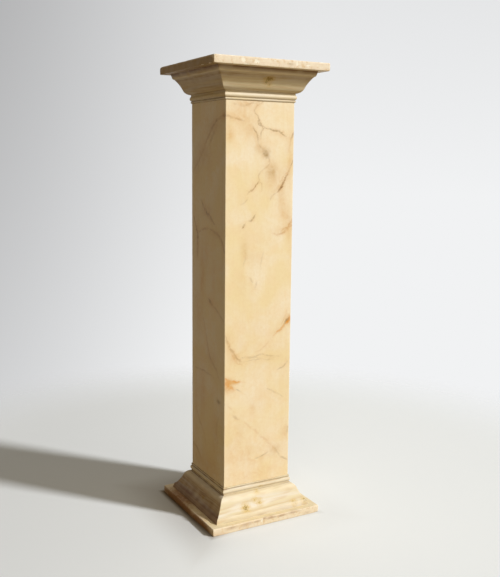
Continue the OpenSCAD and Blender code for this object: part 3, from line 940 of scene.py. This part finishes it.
edge_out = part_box("top_board")[1][0] / MM
plinth_out = PLINTH_HALF / MM
square_board(
    "top_board",
    top_paint,
    chips=[
        ((-78, -edge_out, 1092, 8, 8), 0.95),
        ((-63, -edge_out, 1093, 3, 7), 0.85),
        ((-45, -edge_out, 1091, 12, 7), 0.95),
        ((60, -edge_out, 1093, 4, 8), 1.0),
        ((88, -edge_out, 1090, 12, 4), 0.8),
        ((0, -edge_out, 1096, 14, 3), 0.7),
        ((-110, -edge_out, 1097, 6, 3), 0.7),
        ((115, -edge_out, 1085, 14, 3), 0.7),
        ((edge_out, 40, 1090, 12, 6), 0.8),
        ((20, edge_out, 1094, 16, 5), 0.8),
    ],
    scuffs_and_shade=[
        ((42, -edge_out, 1090, 12, 4), 0.6),
        ((edge_out, -60, 1086, 16, 4), 0.7),
        # painted shade: strong marks along the whole left edge paint it dark brown, where it stands in shade
        *(((-edge_out, along, 1084, 14, 10), 4.0) for along in range(-126, 141, 14)),
    ],
    nick=1.5 * MM,
    rub=0.75,
)
square_board(
    "plinth_board",
    plinth_paint,
    chips=[
        ((-16, -plinth_out, 11, 5, 6), 0.98),
        ((90, -plinth_out, 3, 40, 3), 0.7),
        ((plinth_out, 10, 12, 10, 6), 0.9),
    ],
    scuffs_and_shade=[
        ((-100, -plinth_out, 12, 26, 5), 0.55),
        ((-60, -plinth_out, 12, 24, 5), 0.55),
        ((-30, -plinth_out, 13, 14, 4), 0.6),
        ((-8, -plinth_out, 16, 6, 4), 0.7),
        ((10, -plinth_out, 15, 18, 4), 0.7),
        ((40, -plinth_out, 14, 20, 4), 0.65),
        ((75, -plinth_out, 15, 24, 4), 0.6),
        ((115, -plinth_out, 6, 20, 4), 0.45),
        # stains and painted shade: the left edge and the left margin of the top are painted dark brown where
        # they stand in shade
        ((-plinth_out, -75, 6, 60, 11), 1.3),
        ((-plinth_out, 50, 7, 100, 12), 1.5),
        ((-plinth_out + 9, 60, 18, 80, 8), 0.9),
        ((plinth_out, -50, 9, 30, 5), 0.8),
        ((plinth_out, 60, 12, 40, 5), 0.7),
        ((-40, plinth_out, 9, 40, 5), 0.8),
        ((70, plinth_out, 12, 30, 4), 0.7),
    ],
    nick=1.1 * MM,
    rub=0.3,
)


# ---------------------------------------------------------------- studio

AIR = "#f1f2f3"
AIR_DIM = "#a3a3a4"
PAPER = "#f6fbff"
# the way to the camera's left, level
LEFT = (-0.88, 0.474, 0.0)
FLOOR_RADIUS = 14.0


def seen_or_mirrored(t):
    """1 for what the camera sees, straight on, in a reflection or through glass, and 0 for other light."""
    rays = put(t, "ShaderNodeLightPath").node.outputs
    shown = rays["Is Camera Ray"]
    for ray in ("Is Glossy Ray", "Is Transmission Ray"):
        shown = put(t, "ShaderNodeMath", {0: shown, 1: rays[ray]}, operation="MAXIMUM")
    return shown


def studio_floor():
    """Pale seamless paper, lit and shaded round the column, with painted shade to the left and beside the
    plinth, and clear further off to the studio's air.
    """
    material, t = new_material("pale_seamless_paper")
    place = put(t, "ShaderNodeTexCoord", out="Object")
    far = put(t, "ShaderNodeVectorMath", {0: place}, out="Value", operation="LENGTH")
    fade = put(t, "ShaderNodeMapRange", {"Value": far, 1: 0.85, 2: 1.5}, **EASED)
    leftwards = put(t, "ShaderNodeVectorMath", {0: place, 1: LEFT}, out="Value", operation="DOT_PRODUCT")
    # painted shade: the paper is painted dimmer towards the camera's left, where the light falls off
    dim = put(t, "ShaderNodeMapRange", {"Value": leftwards, 1: -0.35, 2: 0.75, 4: 0.34}, **EASED)
    paper = put(t, "ShaderNodeMix", {0: dim, 6: linear(PAPER), 7: linear(AIR_DIM)}, **TWO_COLOURS)
    # painted shade and painted bounce light: the paper is painted darker and warmer beside the plinth, most
    # of all on the side in its shadow
    shadow_side = put(t, "ShaderNodeMapRange", {"Value": leftwards, 1: -0.1, 2: 0.45}, **EASED)
    beside = put(t, "ShaderNodeVectorMath", {0: place}, operation="ABSOLUTE")
    beside = put(t, "ShaderNodeSeparateXYZ", {0: beside}).node.outputs
    beside = put(t, "ShaderNodeMath", {0: beside[0], 1: beside[1]}, operation="MAXIMUM")
    broad = put(
        t,
        "ShaderNodeMapRange",
        {"Value": beside, 1: PLINTH_HALF, 2: PLINTH_HALF + 0.13, 3: 0.3, 4: 0.0},
        **EASED,
    )
    close = put(
        t,
        "ShaderNodeMapRange",
        {"Value": beside, 1: PLINTH_HALF, 2: PLINTH_HALF + 0.016, 3: 0.6, 4: 0.0},
        **EASED,
    )
    beside = put(t, "ShaderNodeMath", {0: broad, 1: close}, operation="ADD")
    deepest = put(t, "ShaderNodeMapRange", {"Value": leftwards, 1: 0.0, 2: 0.12, 3: 0.2, 4: 1.0}, **EASED)
    beside = put(t, "ShaderNodeMath", {0: beside, 1: deepest}, operation="MULTIPLY")
    paper = put(t, "ShaderNodeMix", {0: beside, 6: paper, 7: linear("#6f5a3a")}, **TWO_COLOURS)
    # what bounces off the paper on to the column is held down, so that the shaded sides stay deep
    outwards = put(t, "ShaderNodeMapRange", {"Value": far, 1: 0.25, 2: 0.8}, **EASED)
    left_bounce = put(
        t, "ShaderNodeMix", {0: outwards, 6: linear("#b3955c"), 7: linear("#846e40")}, **TWO_COLOURS
    )
    bounce = put(t, "ShaderNodeMix", {0: shadow_side, 6: linear("#9c8d72"), 7: left_bounce}, **TWO_COLOURS)
    shown = seen_or_mirrored(t)
    tint = put(t, "ShaderNodeMix", {0: shown, 6: bounce, 7: paper}, **TWO_COLOURS)
    lit = put(t, "ShaderNodeBsdfDiffuse", {"Color": tint})
    clear = put(t, "ShaderNodeBsdfTransparent")
    fade = put(t, "ShaderNodeMath", {0: fade, 1: shown}, operation="MULTIPLY")
    both = put(t, "ShaderNodeMixShader", {0: fade, 1: lit, 2: clear})
    put(t, "ShaderNodeOutputMaterial", {"Surface": both})
    bm = bmesh.new()
    bmesh.ops.create_circle(bm, cap_ends=True, radius=FLOOR_RADIUS, segments=96)
    mesh = bpy.data.meshes.new("paper_floor")
    bm.to_mesh(mesh)
    bm.free()
    mesh.materials.append(material)
    floor = bpy.data.objects.new("paper_floor", mesh)
    bpy.context.scene.collection.objects.link(floor)


def studio_air():
    """The camera sees pale air, a little darker high up and on the left.
    The column gets soft fill light, which is weakest from the left."""
    world = bpy.data.worlds.new("studio_air")
    bpy.context.scene.world = world
    world.use_nodes = True
    t = world.node_tree
    t.nodes.clear()
    way = put(t, "ShaderNodeTexCoord", out="Generated")
    leftwards = put(t, "ShaderNodeVectorMath", {0: way, 1: LEFT}, out="Value", operation="DOT_PRODUCT")
    dim = put(t, "ShaderNodeMapRange", {"Value": leftwards, 1: -0.1, 2: 0.42, 4: 0.78}, **EASED)
    height = put(t, "ShaderNodeSeparateXYZ", {0: way}, out=2)
    dim = put(t, "ShaderNodeMath", {0: height, 1: 0.8, 2: dim}, operation="MULTIPLY_ADD")
    # pale again further round, where only the side and back views look
    round_again = put(
        t, "ShaderNodeMapRange", {"Value": leftwards, 1: 0.5, 2: 0.95, 3: 1.0, 4: 0.35}, **EASED
    )
    dim = put(t, "ShaderNodeMath", {0: dim, 1: round_again}, operation="MULTIPLY")
    dim = put(t, "ShaderNodeMath", {0: dim, 1: 0.03}, operation="ADD", use_clamp=True)
    air = put(t, "ShaderNodeMix", {0: dim, 6: linear(AIR), 7: linear(AIR_DIM)}, **TWO_COLOURS)
    seen = put(t, "ShaderNodeBackground", {"Color": air, "Strength": 1.0})
    weak = put(t, "ShaderNodeMapRange", {"Value": leftwards, 1: -0.1, 2: 0.6}, **EASED)
    glow = put(
        t, "ShaderNodeMix", {0: weak, 6: (0.32, 0.31, 0.29, 1), 7: (0.103, 0.062, 0.012, 1)}, **TWO_COLOURS
    )
    # a wide, low reflector stands in front and lights the mouldings' shaded undersides,
    # and another stands behind, so that the back of the column isn't lost in the dark
    ahead, behind = (0.2, -0.97, 0.12), (0.25, 0.95, 0.17)
    for stand, shade in ((ahead, (0.9, 0.79, 0.58, 1)), (behind, (0.5, 0.45, 0.35, 1))):
        facing = put(t, "ShaderNodeVectorMath", {0: way, 1: stand}, out="Value", operation="DOT_PRODUCT")
        reflector = put(t, "ShaderNodeMapRange", {"Value": facing, 1: 0.6, 2: 0.95}, **EASED)
        glow = put(t, "ShaderNodeMix", {0: reflector, 6: glow, 7: shade}, **TWO_COLOURS)
    fill = put(t, "ShaderNodeBackground", {"Color": glow, "Strength": 1.0})
    shown = seen_or_mirrored(t)
    both = put(t, "ShaderNodeMixShader", {0: shown, 1: fill, 2: seen})
    put(t, "ShaderNodeOutputWorld", {"Surface": both})


def key_lamp(azimuth, height, strength, softness):
    """A big lamp far off to the front right. Its azimuth from the front towards the right, its height above
    level and its softness are in degrees."""
    a, h = math.radians(azimuth), math.radians(height)
    towards = Vector((math.sin(a) * math.cos(h), -math.cos(a) * math.cos(h), math.sin(h)))
    lamp = bpy.data.lights.new("key_lamp", "SUN")
    lamp.energy = strength
    lamp.angle = math.radians(softness)
    lamp.color = (1.0, 0.995, 0.985)
    holder = bpy.data.objects.new("key_lamp", lamp)
    holder.rotation_euler = towards.to_track_quat("Z", "Y").to_euler()
    holder.location = towards * 4
    bpy.context.scene.collection.objects.link(holder)


def camera():
    """Stands at the front left, a little below the column's top, looking slightly down."""
    azimuth, swing, down, roll = (math.radians(d) for d in (-28.31, -0.68, 9.08, 0.57))
    away, height = 1.9445, 0.8721
    spot = Vector((math.sin(azimuth) * away, -math.cos(azimuth) * away, height))
    look = azimuth + swing
    ahead = Vector((-math.sin(look) * math.cos(down), math.cos(look) * math.cos(down), -math.sin(down)))
    right = ahead.cross(Vector((0, 0, 1))).normalized()
    up = right.cross(ahead)
    across = right * math.cos(roll) + up * math.sin(roll)
    upright = -right * math.sin(roll) + up * math.cos(roll)
    lens = bpy.data.cameras.new("camera")
    lens.sensor_width = 36
    lens.lens = 49.3
    lens.clip_end = 60
    eye = bpy.data.objects.new("camera", lens)
    eye.matrix_world = Matrix.Translation(spot) @ Matrix((across, upright, -ahead)).transposed().to_4x4()
    bpy.context.scene.collection.objects.link(eye)
    bpy.context.scene.camera = eye


studio_floor()
studio_air()
key_lamp(azimuth=41, height=34, strength=3.04, softness=5.5)
camera()
bpy.context.scene.view_settings.view_transform = "Standard"
